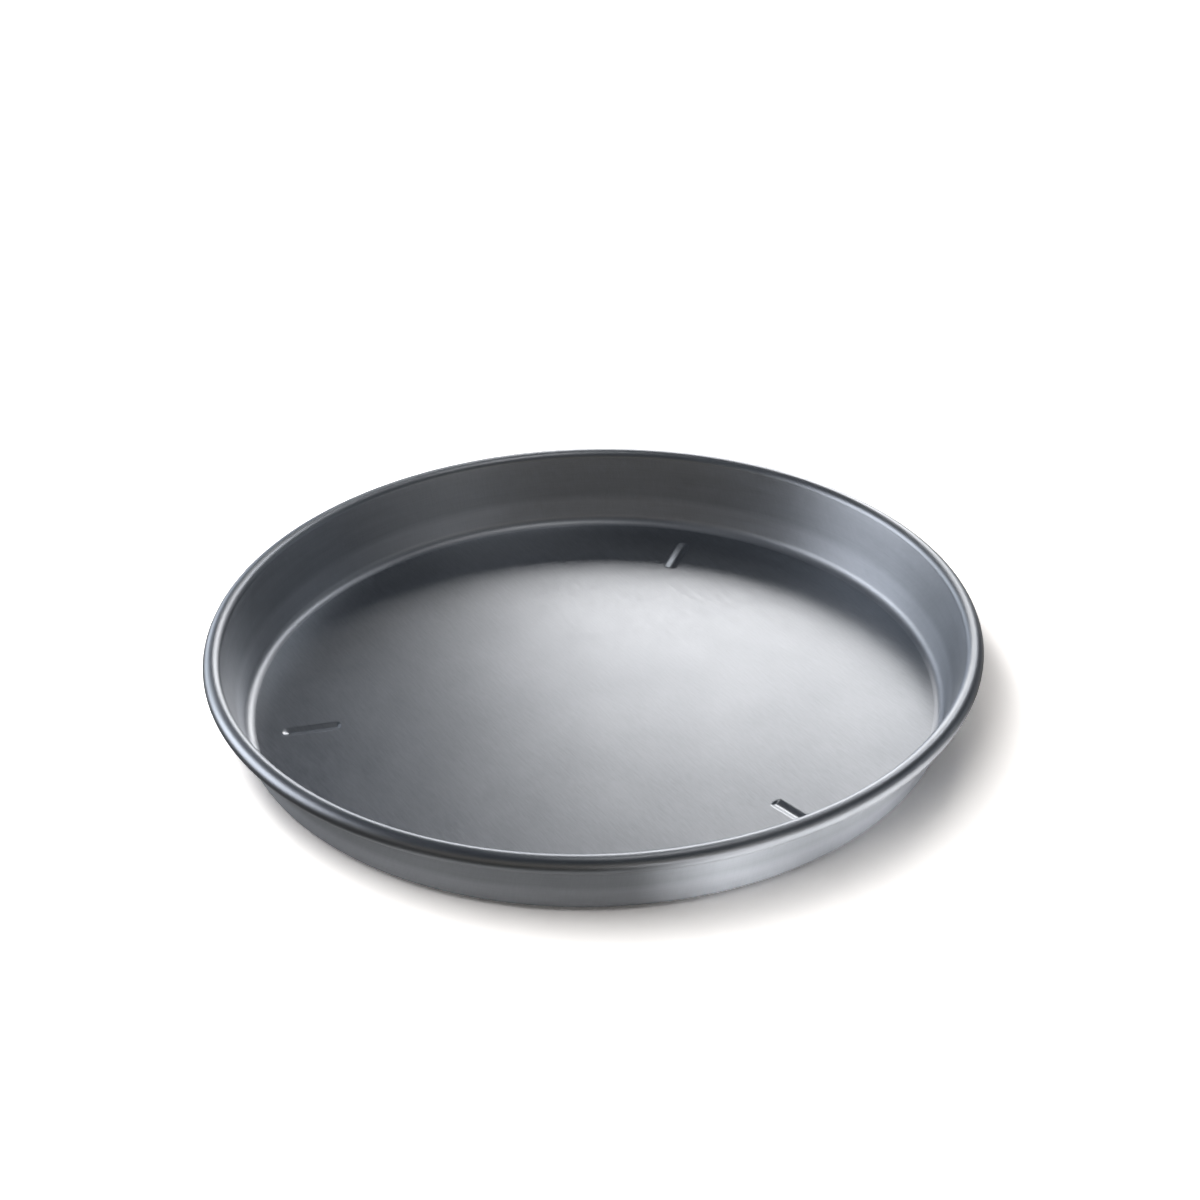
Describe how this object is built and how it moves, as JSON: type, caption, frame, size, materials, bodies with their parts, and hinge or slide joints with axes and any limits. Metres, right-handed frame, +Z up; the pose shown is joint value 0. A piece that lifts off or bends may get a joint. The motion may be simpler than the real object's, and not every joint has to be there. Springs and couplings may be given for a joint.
{
  "type": "deep-dish pizza pan",
  "caption": "Round tapered baking dish of one drawn sheet, its edge rolled outwards over a wire hoop, with short radial ribs pressed down into the floor as feet.",
  "frame": {"origin": "centre of the pan on the surface that it stands on, under its ribs", "axes": "+Z up along the dish's axis, +Y away from the viewer of the picture, +X to the right"},
  "size_m": [0.3724, 0.3724, 0.0404],
  "materials": {
    "anodised_sheet": "satin grey hard anodising over rolled and drawn sheet",
    "drawn_wire": "plain drawn wire"
  },
  "bodies": {
    "root": {"pan_shell": "anodised_sheet", "rim_wire": "drawn_wire"}
  },
  "joints": []
}
